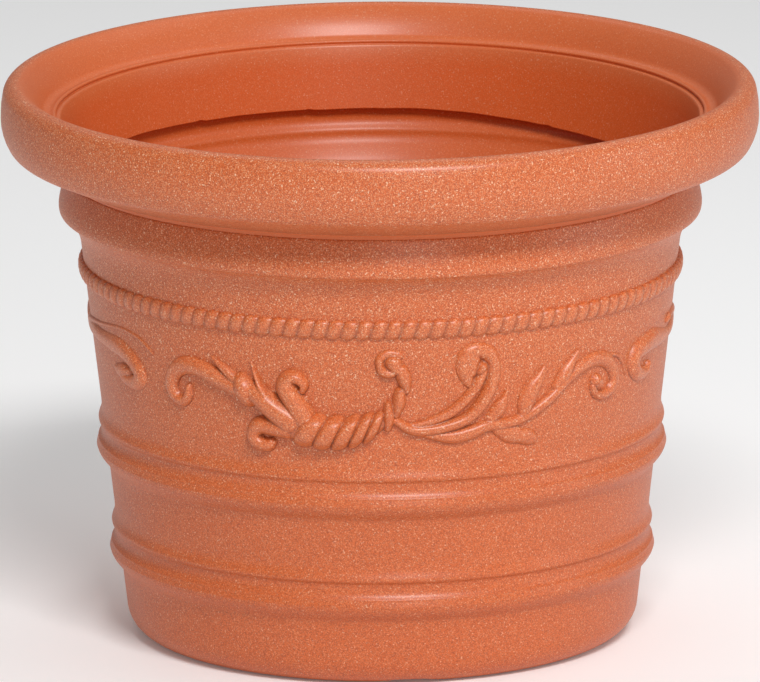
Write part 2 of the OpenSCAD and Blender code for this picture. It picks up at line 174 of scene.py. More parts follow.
def arc(centre, r, a0, a1, n):
    """Points on a circle from angle a0 to a1 in degrees."""
    a = np.radians(np.linspace(a0, a1, n + 1))
    return np.asarray(centre) + r * np.stack([np.cos(a), np.sin(a)], -1)


def turn(p, r, h0, h1, step=7.5):
    """Arc from p whose heading turns from h0 to h1 degrees, without its first point; r is below 0 to the right."""
    n = max(2, int(np.ceil(abs(h1 - h0) / step)))
    h, h0 = np.radians(np.linspace(h0, h1, n + 1)[1:]), math.radians(h0)
    return np.asarray(p) + r * np.stack([np.sin(h) - math.sin(h0), math.cos(h0) - np.cos(h)], -1)


def rings_at(z, outline, step):
    """A curve through rows of height and distance, laid on the wall's cone about height z."""
    line = curve_through(outline, step)
    return np.stack([cone_r(z + line[:, 0]) + line[:, 1], z + line[:, 0]], -1)


def evened(line, step):
    """The same line with points added wherever two are further apart than step."""
    out = [line[:1]]
    for a, b in zip(line[:-1], line[1:]):
        n = max(1, int(np.ceil(np.hypot(*(b - a)) / step)))
        out.append(a + (b - a) * (np.arange(1, n + 1) / n)[:, None])
    return np.vstack(out)


def moved_left(line, d):
    """The line moved to its left by d, with mitred corners: each point goes along the mean of its two sides'
    left directions, by d over the cosine of half the corner."""
    v = np.diff(line, axis=0)
    left = np.stack([-v[:, 1], v[:, 0]], -1) / np.hypot(v[:, 0], v[:, 1])[:, None]
    a, b = np.vstack([left[:1], left]), np.vstack([left, left[-1:]])
    m = (a + b) / np.linalg.norm(a + b, axis=1)[:, None]
    return line + d * m / np.sum(m * a, axis=1)[:, None]


# A big ring with a small one above it, outside and as the soft wave that shows inside: height, distance out
RING_PAIR = [[-12, 0], [-10.5, 0.7], [-8, 2.7], [-5.5, 4.6], [-3, 6], [-1.2, 6.5], [-0.4, 6.6], [0.1, 6.75],
             [0.6, 6.55], [2.5, 5.9], [4.4, 5.15], [4.9, 5.15], [5.4, 4.75], [7.3, 3.1], [10, 1.9], [13, 1.4],
             [14.6, 1.5], [15.6, 1.9], [16.4, 2.7], [17.2, 3.25], [18.2, 3.3], [19.4, 2.9], [21.5, 1.85],
             [24, 0.85], [27, 0.25], [31, 0.02]]
RING_WAVE = [[-12, 0], [-6, 2.2], [0, 3.6], [6, 2.4], [12, 1.1], [18, 1.3], [31, 0]]
# The bead under the rim, and the ridge inside the skin behind it: distance out from the bead and height over it
BEAD = [[-0.9, -3.4], [-0.35, -2.4], [0, -0.5], [0, 2], [-0.8, 7], [-2.6, 14], [-4.5, 20.6], [-4.9, 21.5]]
GROOVE = [[-5.4, 21.9], [-7, 22.0], [-6.9, 22.5]]
RIDGE = [[-18.6, -25], [-16.6, -17], [-12.5, -10], [-9, -4.8], [-7.6, -1], [-7.7, 2], [-6.5, 4.2], [-4.7, 7],
         [-4.2, 10.5], [-5.2, 15], [-7.6, 20.5]]
# The rolled rim: each arc's radius and the heading in degrees at its end, with a flat before the one to 102
ROLL_START, ROLL_FLAT = 26, {102: 1.5}
ROLL_ARCS = [(10.5, 60), (34, 90), (70, 102), (9, 180), (8, 222), (45, 247), (-6, 205)]
# The lip from the valley inside the rim, then the skirt that hangs from its shoulder
LIP = [[-0.9, -0.3], [-2, -0.35], [-3.2, 0], [-4.2, 0.5], [-5, 0.65], [-5.8, 0.4], [-6.3, -0.3], [-6, -1.2],
       [-5.3, -2.2], [-6.6, -2.2]]
SHOULDER_FROM, SHOULDER_R, SHOULDER_TURN = [-8.6, -1.6], 3, (215, 254)
SKIRT_INSET, SKIRT_DROP = 11, 40

corner_c = cone_r(CORNER_R) - CORNER_R / math.cos(LEAN)
foot_in_r = corner_c - FOOT_W
bead_z = POT_H - BEAD_DROP
bead_r = cone_r(bead_z) + BEAD_OUT
bead_at = np.array([bead_r, bead_z])
lean_deg = math.degrees(LEAN)

base_line = np.array([[foot_in_r - 5, BASE_RISE], [foot_in_r - 0.6, 0.8], [foot_in_r + 0.8, 0], [corner_c, 0]])
corner_line = arc([corner_c, CORNER_R], CORNER_R, -84, -lean_deg, 11)
cove_z = bead_z - 4.5 - COVE_R * (math.sin(math.radians(COVE_END)) - math.sin(LEAN))
cove_a = np.radians(np.linspace(lean_deg, COVE_END, 10))
cove_line = np.stack([cone_r(cove_z) + COVE_R * (math.cos(LEAN) - np.cos(cove_a)),
                      cove_z + COVE_R * (np.sin(cove_a) - math.sin(LEAN))], -1)
bead_line = curve_through(bead_at + BEAD, BEAD_STEP)
groove = bead_at + GROOVE
roll_line, heading = [np.zeros((1, 2))], ROLL_START
for radius, end in ROLL_ARCS:
    roll_line.append(turn(roll_line[-1][-1] + [0, ROLL_FLAT.get(end, 0)], radius, heading, end))
    heading = end
roll_line = np.vstack(roll_line)
roll_line += [RIM_R, POT_H] - roll_line.max(axis=0)
valley = roll_line[-1]
lip_line = curve_through(valley + LIP, LIP_STEP)
shoulder = turn(valley + SHOULDER_FROM, SHOULDER_R, *SHOULDER_TURN)
skirt_end = np.array([bead_r - SKIRT_INSET, shoulder[-1][1] - SKIRT_DROP])
skirt = shoulder[-1] + (skirt_end - shoulder[-1]) * np.array([[0.15, 0.3, 0.5, 0.7, 0.85, 0.985, 1]]).T

outer_line = np.vstack([base_line, corner_line, rings_at(LOWER_RINGS_Z, RING_PAIR, RING_STEP),
                        rings_at(UPPER_RINGS_Z, RING_PAIR, RING_STEP), cove_line, bead_line, groove,
                        roll_line, lip_line, shoulder, skirt])


def inner_skin():
    """The skin's inner line: the channel over the foot, the plain wall, a soft ridge and a shallow recess inside
    the bead, then the roll, which is out of sight and has a third of the points."""
    wall = moved_left(np.vstack([corner_line[::2], rings_at(LOWER_RINGS_Z, RING_WAVE, WAVE_STEP),
                                 rings_at(UPPER_RINGS_Z, RING_WAVE, WAVE_STEP)]), WALL_T)
    roll = moved_left(np.vstack([roll_line[::3], shoulder[:1], skirt[-1:]]), WALL_T)
    roll[-1] = skirt_end + [1.0, -0.2]
    channel_z = WALL_T + ARCH_H
    return np.vstack([[[foot_in_r - 1.5, FLOOR_Z], [foot_in_r + 2.5, channel_z], [corner_c, channel_z]],
                      wall[wall[:, 1] > channel_z + 0.5], curve_through(bead_at + RIDGE, RIDGE_STEP), roll])


inner_line = inner_skin()
cut_edge = [skirt_end + t * (inner_line[-1] - skirt_end) for t in (0.1, 0.9)]
skin_line = np.vstack([evened(outer_line, OUTER_STEP), cut_edge, evened(inner_line, INNER_STEP)[::-1]])


def foot_arches(points):
    """Raises the lowest points to the arches: a circle through the arch's width and height, every quarter turn."""
    arch_r = (ARCH_W ** 2 / 4 + ARCH_H ** 2) / (2 * ARCH_H)
    a = np.degrees(np.arctan2(points[..., 0], -points[..., 1])) - ARCH_TURN
    part = 360 / ARCH_COUNT
    off = np.radians((a + part / 2) % part - part / 2)
    side = np.hypot(points[..., 0], points[..., 1]) * np.sin(off)
    top = ARCH_H - arch_r + np.sqrt(np.maximum(arch_r ** 2 - side ** 2, 0))
    out = points.copy()
    out[..., 2] = np.maximum(points[..., 2], np.where(np.abs(side) < ARCH_W / 2, top, 0))
    return out


# The knife's path: the dip's depth, the angles where it begins and ends and how softly, in degrees; waves of
# height, number and start; burrs of angle and height, in radians
DIP, DIP_FROM, DIP_TO, FROM_SOFT, TO_SOFT = 8.5, 70, 152, 12, 8
KNIFE_WAVES = [(0.25, 5, 1), (0.2, 13, 0), (0.12, 31, 2)]
BURRS, BURR_WIDTH = [(2.2, 1.2), (2.55, 0.9), (-2.5, 1.1), (-2.9, 0.7), (0.4, 1.0), (1.3, 1.2)], 0.012
SKIRT_R = 214


def trimmed_edge(points):
    """The knife's path round the skirt's free edge: a long dip to the right of the far side, which is a product
    of two logistic curves of the angle, a slow wave of three sines and a few small burrs, each a bell curve.
    The dip stretches the whole skirt along its slope, the rest only the last few millimetres."""
    x, y, z = np.moveaxis(points, -1, 0)
    a, r = np.arctan2(x, -y), np.hypot(x, y)
    top, drop = shoulder[-1], shoulder[-1] - skirt_end
    down = np.clip((top[1] - z) / drop[1], 0, 1)
    inside = r - (top[0] - down * drop[0])
    thickness = 4.6 - 3.3 * down
    on_skirt = (z > skirt_end[1] - 2) * (z < top[1]) * (inside > -0.5) * (inside < thickness) * (r < SKIRT_R)
    deg = np.degrees(a)
    dip = -DIP / (1 + np.exp((deg - DIP_TO) / TO_SOFT)) / (1 + np.exp((DIP_FROM - deg) / FROM_SOFT))
    wave = sum(h * np.sin(n * a + at) for h, n, at in KNIFE_WAVES)
    burr = sum(h * np.exp(-(np.angle(np.exp(1j * (a - at))) / BURR_WIDTH) ** 2) for at, h in BURRS)
    move = on_skirt * (dip * down ** 2 + (wave + burr) * np.clip(down * 10 - 9, 0, 1))
    sloped = 1 + move * drop[0] / drop[1] / np.maximum(r, 1)
    return np.stack([x * sloped, y * sloped, z + move], -1)


def drilled_quarter(k):
    """A quarter of the flat base plate with its drain hole, from the hole's circle to the quarter's outline on
    the upper face and back on the lower one: the points run evenly along straight lines between the two."""
    a = 2 * np.pi * (k * QUARTER + np.arange(QUARTER + 1)) / TURNS
    round_edge = np.stack([np.sin(a), -np.cos(a)], -1)
    inward = np.linspace(1, 0, 25)[1:, None]
    outline = np.vstack([round_edge, inward * round_edge[-1], inward[:-1][::-1] * round_edge[0]])
    mid = (a[0] + a[-1]) / 2
    centre = DRAIN_RING_R * np.array([math.sin(mid), -math.cos(mid)])
    rows = []
    for (edge_r, z), shares in [(skin_line[0], (1, 0.6, 0.3, 0.1, 0.02, 0)),
                                (skin_line[-1], (0, 0.02, 0.1, 0.3, 0.6, 1))]:
        out = outline * edge_r
        v = out - centre
        hole = centre + DRAIN_D / 2 * v / np.linalg.norm(v, axis=1)[:, None]
        rows += [np.column_stack([hole + (out - hole) * t, np.full(len(out), z)]) for t in shares]
    return np.array(rows)


def skin_surface():
    """The section carried round the axis with its arches and its trimmed edge, and the four drilled quarters of
    the base plate."""
    body = trimmed_edge(foot_arches(spun(skin_line, 2 * np.pi * np.arange(TURNS) / TURNS)))
    points, quads = [body.reshape(-1, 3)], [grid_quads(len(skin_line), TURNS, close_cols=True)]
    start = len(points[0])
    for k in range(4):
        plate = drilled_quarter(k)
        points.append(plate.reshape(-1, 3))
        quads.append(grid_quads(*plate.shape[:2], close_cols=True, start=start)[:, ::-1])
        start += len(points[-1])
    return np.vstack(points), np.vstack(quads)


def skin_shades(count):
    """Three numbers for each of the skin's points. The first rises from 0 to 1 just past the rim's crest. The
    second is 1 on the skirt and 0.35 inside it. The third is painted shade: a bell curve about the groove under
    the rim, the higher of a narrow one and a wide one that holds only for the rim's outside, which darkens the
    groove and the rim's underside. The base plate has the last row's numbers."""
    order = np.arange(len(skin_line))
    crest_at = np.argmax(skin_line[:, 1])
    top_at, end_at = (np.argmin(np.hypot(*(skin_line - spot).T)) for spot in (shoulder[-1], skirt_end))
    past_crest = np.clip((order - crest_at) / 3.3, 0, 1)
    on_skirt = np.clip((order - top_at) / 2.0, 0, 1) * (order <= end_at) + 0.35 * (order > end_at)
    # Painted shade: the groove under the rim and, more softly, the rim's underside are darkened in the colour
    away_r, away_z = (skin_line - groove[1]).T
    under_rim = (order < crest_at) * (away_z > 0.3)
    away = away_r ** 2 + away_z ** 2
    groove_shade = np.maximum(0.9 * np.exp(-away / 0.8), 0.36 * under_rim * np.exp(-away / 20 ** 2))
    shades = {}
    for name, row in [("smooth_side", past_crest), ("skirt", on_skirt), ("crease", groove_shade)]:
        shades[name] = np.full(count, row[-1])
        shades[name][:len(row) * TURNS] = np.repeat(row, TURNS)
    return shades


# Relief on the wall: u is the sideways length from a unit's middle, z the height and the third number of a
# path's point its half width, the fourth how far it stands out

def bands(u, z, path, power):
    """Height of a strand over the wall. q is the distance from the path over the half width at the nearest place;
    the height is proud * (1 - q ** power), and goes on below the wall."""
    best = np.full(u.shape, -9.0)
    for a, b in zip(path[:-1], path[1:]):
        d = b[:2] - a[:2]
        t = np.clip(((u - a[0]) * d[0] + (z - a[1]) * d[1]) / (np.hypot(*d) + 1e-9) ** 2, 0, 1)
        du, dz = u - a[0] - t * d[0], z - a[1] - t * d[1]
        half, proud = a[2] + t * (b[2] - a[2]), a[3] + t * (b[3] - a[3])
        best = np.maximum(best, proud * (1 - (np.hypot(du, dz) / half) ** power))
    return best


def strand(points, power=2.6):
    """The height of one strand along a curve through the points, as a function of u and z."""
    path = curve_through(points, 1.5)
    return lambda u, z: bands(u, z, path, power)


def twisted(points, creases, lean, depth):
    """A strand with plump lobes wound round it. dip is 1 - |cos| of a phase that passes a half at each crease; the
    creases lean to the right. The strand is narrower by 12 % * dip and lower by depth * dip ** 2.4."""
    path = curve_through(points, 1.5)

    def height(u, z):
        middle = np.interp(u, path[:, 0], path[:, 1])
        phase = np.interp(u - lean * (z - middle), creases, np.arange(len(creases)) + 0.5)
        dip = 1 - np.abs(np.cos(np.pi * phase))
        return bands(u, middle + (z - middle) * (1 + 0.12 * dip), path, 3.0) - depth * dip ** 2.4
    return height


def together(*forms, soft):
    """The highest of several forms. Where two are less than soft apart, the higher one is raised by
    (soft - their difference) ** 2 / (4 * soft), which rounds the line where they meet."""
    def height(u, z):
        total = forms[0](u, z)
        for form in forms[1:]:
            other = form(u, z)
            blend = np.maximum(soft - np.abs(total - other), 0) ** 2 / (4 * soft)
            total = np.maximum(total, other) + blend
        return total
    return height


LEFT_SCROLL = together(
    strand([[-86, 199, 6, 6.5], [-101, 203, 6, 6], [-114, 208, 6.5, 6], [-126, 212, 6.5, 6],
            [-138, 212, 6.5, 5.5], [-148, 206, 6, 5], [-152, 196, 5.5, 4.5], [-149, 189, 4.5, 4],
            [-142, 187, 4, 4], [-137, 192, 3.5, 4], [-136, 198, 2.5, 3]]),
    strand([[-98, 208, 4.5, 4.5], [-106, 214, 3.5, 3.8], [-115, 221, 1, 2]]),
    strand([[-93.5, 207.5, 6.2, 7], [-91, 202, 9, 9.5], [-89.5, 196.5, 7, 7]], 2.2), soft=0.3)

CORNUCOPIA = together(
    strand([[-86, 201, 7, 7], [-78.5, 196.5, 8.5, 9], [-70, 190, 9.5, 10], [-60, 183, 11, 10.5]]),
    strand([[-86, 221, 1, 1.6], [-83.5, 213, 1.6, 3], [-80.5, 206, 2.4, 5], [-76, 199.5, 4, 8]]),
    strand([[-50, 184, 8.5, 9.5], [-54, 191.5, 8.5, 9.5], [-58.5, 199, 8.2, 9], [-62, 206.5, 7.8, 8.5],
            [-59.5, 212.5, 6, 8], [-54, 212.8, 5, 7], [-50.3, 208.5, 3.6, 6], [-51.3, 204.3, 2.4, 5]]),
    strand([[-49.3, 199.6, 1.5, 1.6], [-48.6, 198, 1.3, 1.4]]),
    strand([[-62, 177, 7, 8.5], [-73, 178, 6.8, 8], [-81, 178.3, 6.5, 7.5], [-85.8, 174.3, 6.1, 7],
            [-86, 169, 5.9, 7], [-82, 165.9, 5.5, 6.5], [-77, 165.4, 5, 6], [-74, 167.3, 3.4, 4.5]]),
    twisted([[-66, 182, 10, 9], [-56, 179, 12.4, 11], [-48, 177.6, 13, 12], [-36, 176.4, 13, 11.8],
             [-24, 176.8, 12.2, 11], [-13, 179.4, 10.8, 9.8], [-4, 183, 8.8, 8.4], [2, 186.5, 6, 6]],
            [-54, -40.5, -28.5, -17.5, -8, 0.5], 0.5, 3.2),
    strand([[4, 180, 3, 4], [4.8, 187.5, 4.6, 6.5], [4.5, 196, 3, 4.5]]),
    strand([[9.5, 189, 2.8, 4], [11.2, 197, 4.8, 6.5], [12, 204.5, 4, 5]]),
    strand([[16.2, 205.5, 2.6, 3.5], [15, 212.5, 5, 6], [12.5, 219.5, 5, 5.5]]),
    strand([[11, 229.5, 3.5, 2.4], [4.5, 230.5, 3.5, 2.6], [-0.5, 227.5, 3.4, 3.8], [-0.8, 223, 3.2, 4.5],
            [1, 219, 3.8, 5], [5, 217.5, 3.8, 5], [10, 219, 3, 4]]),
    strand([[7.5, 225, 6, 6.5], [9.5, 220.5, 5, 5.5]]), soft=0.25)

RIGHT_SCROLL = together(
    strand([[14, 181, 1.5, 2], [25, 182, 2.5, 3.2], [35, 184.5, 3.5, 3.8], [45, 189, 4, 4.4],
            [54, 196, 4, 4.4], [61, 204, 4, 4.2], [66, 213, 3.5, 3.6], [68, 218, 2.5, 2.5]]),
    strand([[9, 185, 3, 4], [20, 178.5, 4, 5], [32, 178, 4.5, 5.4], [44, 180, 4.5, 5.4],
            [56, 184, 4.5, 5.4], [65, 192, 5, 5.4], [71, 202, 5, 5.4], [74, 212, 5, 5],
            [73.5, 221, 5, 5], [69.5, 228, 5.5, 4.2], [62, 230.5, 6, 4.2], [55.5, 227, 6.5, 4],
            [53.5, 219, 5.5, 3.8], [56, 211.5, 4.5, 3.2], [58, 205.5, 1, 1.5]]),
    strand([[24, 176, 2, 2.4], [36, 173.5, 3.5, 3.8], [48, 172.3, 5.2, 4.4], [60, 174.5, 5.2, 4.4],
            [70, 177.8, 4.5, 4.2], [80, 178, 4.5, 4.2], [90, 179, 4, 3.8], [100, 182, 4, 3.8],
            [110, 187, 4, 3.8], [119, 193, 4, 4.2], [127, 200, 4, 4.2], [136, 206, 4.5, 4.2],
            [146, 210.5, 5, 3.8], [156, 212, 5.5, 3.8], [166, 209, 5.5, 3.8], [173, 202, 5, 3.8],
            [176, 194, 4.5, 3.6], [172, 187.5, 4, 3.6], [164, 185.5, 3.5, 3.6], [157, 188, 3, 3.4],
            [154, 193, 2.5, 3]]),
    strand([[170, 212, 1.2, 1.3], [178, 210, 1.5, 1.5], [185, 203, 1.3, 1.3], [190, 194, 1, 1]]),
    strand([[66, 219, 4, 5], [64.5, 216.5, 3.5, 4.5]], 2),
    strand([[59.5, 225, 5.5, 4], [57.5, 216.5, 5.5, 3.6]]),
    strand([[157, 197, 5, 5.4], [159, 195, 5, 4.8]], 2),
    strand([[74, 183, 5, 3], [79.5, 190, 5.5, 4.2], [82.5, 196.5, 2.6, 3], [84.5, 203, 1, 1.3]]),
    strand([[97.5, 184, 4.5, 3.4], [99, 192, 6.8, 4.6], [102.5, 199.5, 6.6, 4.8], [107.5, 207, 4.2, 4],
            [110.8, 214, 1.4, 2]]),
    strand([[122, 199, 4, 3.6], [129, 208, 5, 4.4], [138, 221, 1, 1.8]]),
    strand([[78, 175, 4, 2.8], [87, 171, 6.5, 3.4], [95, 168.5, 5.5, 3.4], [101, 167, 6, 3.2],
            [106, 165, 4, 2.4]]), soft=0.25)

SIDE_SCROLL = together(
    strand([[-84, 195, 3, 3], [-86, 191.5, 4, 3.4], [-93, 190.5, 5, 3.8], [-102, 193.5, 6, 4.4],
            [-107.5, 201, 6.6, 4.8], [-103, 207.5, 7.4, 4.8], [-93, 209.5, 8, 4.6], [-80, 210.5, 8, 3.8],
            [-62, 208.5, 6, 3], [-45, 207, 4.5, 2.6], [-25, 207.5, 5, 2.2], [0, 210, 7, 2],
            [22, 211, 6.5, 2.2], [44, 211, 5.5, 2.6], [62, 211, 6, 2.8], [80, 210.5, 7, 3.2],
            [93, 206.5, 7, 3.4], [102, 200.5, 7, 3.6], [104.5, 195, 7, 3.6], [99, 190.5, 6, 3.4],
            [90, 189.5, 5, 3], [82, 191, 5, 2.8]], 2.4),
    strand([[90, 196, 3.5, 2.4], [84, 195.5, 5.5, 3.2], [77, 194, 5, 2.8], [72, 195, 3, 2]], 2.2),
    strand([[-50, 216.5, 2, 2], [-46, 218, 3, 2.8], [-40, 218.5, 2.5, 2.2], [-22, 217, 4, 2],
            [0, 214, 4, 1.8]], 2.2),
    strand([[2, 213, 2.5, 2], [25, 217, 2, 1.6], [52, 220.5, 1.6, 1.5], [85, 224.5, 1.3, 1.2],
            [104, 223, 1.3, 1.2], [114, 219, 1.3, 1.2], [121, 214.5, 1, 1]]), soft=0.25)

# Each moulding of the garland: its form, the box of u and z that holds it, and its turn round the pot
MOULDINGS = {"left_scroll": (LEFT_SCROLL, (-162, -78, 178, 226), 0),
             "cornucopia": (CORNUCOPIA, (-96, 24, 155, 237), 0),
             "right_scroll": (RIGHT_SCROLL, (4, 194, 158, 240), 0),
             "side_scroll": (SIDE_SCROLL, (-116, 124, 180, 228), SIDE_TURN)}
# How deep in the wall a moulding's sides begin, and its back and the rope's lie
SUNK, BACK, ROPE_BACK = -0.7, -1.3, -1.4


def blurred(h, times):
    """Each number replaced by the mean of itself and its neighbours, the given number of times."""
    for _ in range(times):
        wide = np.pad(h, 1, mode="edge")
        h = (wide[:-2, 1:-1] + wide[2:, 1:-1] + wide[1:-1, :-2] + wide[1:-1, 2:] + wide[1:-1, 1:-1]) / 5
    return h


def relief_surface(height, box, turn_deg):
    """The wall's cone raised by height(u, z) over a grid of CELL, kept where it comes near the surface, with a back
    inside the wall and sides between the two. Where two cells would touch at one corner only, a third joins them.
    The painted shade of a point is how far it lies below the mean of its neighbours, most where the relief faces
    down: darkening that stands for the shade in hollows and under the strands."""
    u0, u1, z0, z1 = box
    u, z = np.meshgrid(np.arange(u0, u1 + CELL, CELL), np.arange(z0, z1 + CELL, CELL))
    h = np.maximum(height(u, z), SUNK)
    up = h > SUNK
    near = up[:-1, :-1] | up[1:, :-1] | up[:-1, 1:] | up[1:, 1:]
    near[1:, :-1] |= near[:-1, :-1] & near[1:, 1:] & ~near[:-1, 1:]
    near[:-1, :-1] |= near[:-1, 1:] & near[1:, :-1] & ~near[1:, 1:]
    a = u / GARLAND_R + math.radians(turn_deg)

    def on_wall(offset):
        r = cone_r(z) + offset
        return np.stack([r * np.sin(a), -r * np.cos(a), z], -1).reshape(-1, 3)
    quads = grid_quads(*u.shape)[near.ravel()]
    i, j = np.nonzero(near)
    pad = np.pad(near, 1)
    sides = []
    for di, dj, ends in [(-1, 0, (0, 1)), (0, 1, (1, 2)), (1, 0, (2, 3)), (0, -1, (3, 0))]:
        edge = quads[~pad[1 + i + di, 1 + j + dj]]
        p, q = edge[:, ends[0]], edge[:, ends[1]]
        sides.append(np.stack([q, p, p + u.size, q + u.size], -1))
    used, numbered = np.unique(np.vstack([quads, quads[:, ::-1] + u.size] + sides), return_inverse=True)
    points = np.vstack([on_wall(h), on_wall(BACK)])
    # Painted shade: hollows and downward-facing sides are marked for darkening in the colour
    seen = np.maximum(h, 0)
    hollow = np.clip((blurred(seen, 4) - seen) / 0.42, 0, 1)
    faces_down = np.clip(np.gradient(seen, axis=0) / 0.4, 0, 1)
    crease = np.concatenate([(hollow * (0.45 + 0.55 * faces_down)).ravel(), np.zeros(h.size)])
    return points[used], numbered.reshape(-1, 4), crease[used]


def rope_surface():
    """The rope's section runs over the wall from its lower edge to its upper edge and back inside the wall. Each
    strand is |cos| of a phase that leans with the height; it swells the height and scallops the edges. The
    painted shade in the valleys between strands is 0.7 * (1 - swell) ** 1.5."""
    a = 2 * np.pi * np.arange(STRANDS * STRAND_COLUMNS) / (STRANDS * STRAND_COLUMNS)
    t = np.linspace(0, np.pi, ROPE_ROWS)[:, None]
    swell = np.abs(np.cos(STRANDS / 2 * (a + math.radians(0.4)) + 0.55 * np.cos(t))) ** 0.6
    z = ROPE_Z - (ROPE_HALF - 1.2 + 1.2 * swell) * np.cos(t)
    h = (ROPE_OUT - 1.9 * (1 - swell)) * np.sin(t) ** 0.8 - 0.4 * np.cos(t) ** 8
    z = np.vstack([z, z[-1:], z[:1]])
    h = np.vstack([h, np.full((2, len(a)), ROPE_BACK)])
    r = cone_r(z) + h
    points = np.stack([r * np.sin(a), -r * np.cos(a), z], -1)
    # Painted shade: the valleys between the strands are darkened in the colour
    crease = np.vstack([0.7 * (1 - swell) ** 1.5, np.zeros((2, len(a)))])
    return points.reshape(-1, 3), grid_quads(*z.shape, close_rows=True, close_cols=True), crease.ravel()


def plug_surface(k):
    """A solid shank under a round flange, spun round the plug's own axis, and a rounded grip bar across it. The
    bar's section is a circle whose sine and cosine are taken to the power of a half, its ends shrink with
    (1 - |x| ** 8) ** 0.5 and its top falls by a fifth of x ** 4. The whole is turned to its hole."""
    shank_r, flange_r = DRAIN_D / 2 - PLUG_CLEAR, DRAIN_D / 2 + FLANGE_LAP
    low = -(SEAT_GAP + WALL_T + SHANK_BELOW)
    line = np.array([[0.02, low], [shank_r - 1.8, low], [shank_r - 1.4, low + 0.15], [shank_r, low + 1.5],
                     [shank_r, 0], [flange_r - 0.4, 0], [flange_r, 0.4], [flange_r, FLANGE_T - 0.6],
                     [flange_r - 0.2, FLANGE_T - 0.15], [flange_r - 0.7, FLANGE_T], [0.02, FLANGE_T]])
    cup = spun(evened(line, 2.0), 2 * np.pi * np.arange(64) / 64)
    ring = np.linspace(0, 2 * np.pi, 33)[:-1]
    x = np.linspace(-1, 1, 25)[:, None]
    full = np.maximum(1 - np.abs(x) ** 8, 0) ** 0.5 * 0.995 + 0.005
    c, s = np.cos(ring), np.sin(ring)
    y = np.sign(c) * np.abs(c) ** 0.5 * GRIP_T / 2 * full
    top = GRIP_H * (1 - 0.2 * x ** 4) * full
    z = FLANGE_T - 0.8 + (np.sign(s) * np.abs(s) ** 0.5 * 0.5 + 0.5) * (top + 0.8)
    bar = np.stack([x * shank_r + 0 * y, y, z], -1)
    quads, points = [], []
    for part, start in [(cup, 0), (bar, cup.size // 3)]:
        points.append(part.reshape(-1, 3))
        quads += [grid_quads(*part.shape[:2], close_cols=True, start=start), end_caps(*part.shape[:2], start)]
    a = math.radians(45 + 90 * (k - 1))
    turned = np.array([[math.cos(a), math.sin(a), 0], [-math.sin(a), math.cos(a), 0], [0, 0, 1]])
    hole_at = [DRAIN_RING_R * math.cos(a), DRAIN_RING_R * math.sin(a), FLOOR_Z + SEAT_GAP]
    return np.vstack(points) @ turned + hole_at, np.vstack(quads)


# Finishes

class Field:
    """A number or colour that varies over the surface; sums and products of fields add their Math nodes."""

    def __init__(self, paint, socket):
        self.paint, self.socket = paint, socket

    def math(self, operation, *values):
        return self.paint.node("ShaderNodeMath", {"operation": operation}, values)

    def __add__(self, other):
        return self.math("ADD", self, other)

    def __mul__(self, other):
        return self.math("MULTIPLY", self, other)

    def __sub__(self, other):
        return self.math("SUBTRACT", self, other)

    def __rsub__(self, other):
        return self.math("SUBTRACT", other, self)

    __radd__, __rmul__ = __add__, __mul__

    def spread(self, low, high):
        """0 below low, 1 above high and even between."""
        return self.paint.node("ShaderNodeMapRange", {"clamp": True},
                               {"Value": self, "From Min": low, "From Max": high})


class Paint:
    """One material; node() adds a node and returns one of its outputs as a field."""

    def __init__(self, name, **constants):
        self.material = bpy.data.materials.new(name)
        self.material.use_nodes = True
        self.tree = self.material.node_tree
        self.shader = self.tree.nodes["Principled BSDF"]
        for key, value in constants.items():
            self.shader.inputs[key.replace("_", " ")].default_value = value
        self.place = self.node("ShaderNodeTexCoord", {}, {}, "Object")

    def node(self, kind, settings, inputs, out=0):
        """Settings are set first, then each input gets its value or its link, by name or in order."""
        made = self.tree.nodes.new(kind)
        for key, value in settings.items():
            setattr(made, key, value)
        pairs = inputs.items() if isinstance(inputs, dict) else enumerate(inputs)
        for key, value in pairs:
            if isinstance(value, Field):
                self.tree.links.new(value.socket, made.inputs[key])
            else:
                made.inputs[key].default_value = value
        return Field(self, made.outputs[out])

    def noise(self, scale, detail=2.0, rough=0.5):
        """Noise of about scale waves to a metre."""
        return self.node("ShaderNodeTexNoise", {}, {"Vector": self.place, "Scale": scale, "Detail": detail,
                                                    "Roughness": rough})

    def kept(self, name):
        """A number kept on the mesh under that name; 0 where the mesh has none."""
        return self.node("ShaderNodeAttribute", {"attribute_name": name}, {}, "Fac")

    def mix(self, fac, a, b):
        """Colour a where fac is 0, b where it is 1."""
        return self.node("ShaderNodeMix", {"data_type": "RGBA"}, {0: fac, 6: a, 7: b}, 2)

    def feed(self, **fields):
        """Links fields to the shader's sockets of those names."""
        for key, field in fields.items():
            self.tree.links.new(field.socket, self.shader.inputs[key.replace("_", " ")])

    def bump(self, height, distance, strength):
        """The surface's direction under a relief of that height times distance."""
        return self.node("ShaderNodeBump", {}, {"Height": height, "Distance": distance, "Strength": strength},
                         "Normal")


def linear(r, g, b):
    """Display numbers from 0 to 255 as a linear colour."""
    return tuple(((c / 255 + 0.055) / 1.055) ** 2.4 if c > 10 else c / 3294 for c in (r, g, b)) + (1.0,)


# The fourth colour here is the dark colour of the painted shade in creases, in the groove under the rim and under
# the rim
CLAY, RAISED, INNER, PAINTED_SHADE = linear(206, 98, 40), linear(211, 105, 47), linear(206, 88, 30), linear(112, 44, 16)
DEEP, PIT, FLECK, PALE = linear(186, 82, 30), linear(150, 60, 22), linear(242, 176, 128), linear(254, 226, 192)
PLUG, PLUG_DEEP = linear(150, 74, 48), linear(128, 60, 38)
MOTTLE_WAVES, COARSE_WAVES, FINE_WAVES, FLECK_WAVES, BRIGHT_WAVES = 14.0, 480.0, 1100.0, 1300.0, 860.0


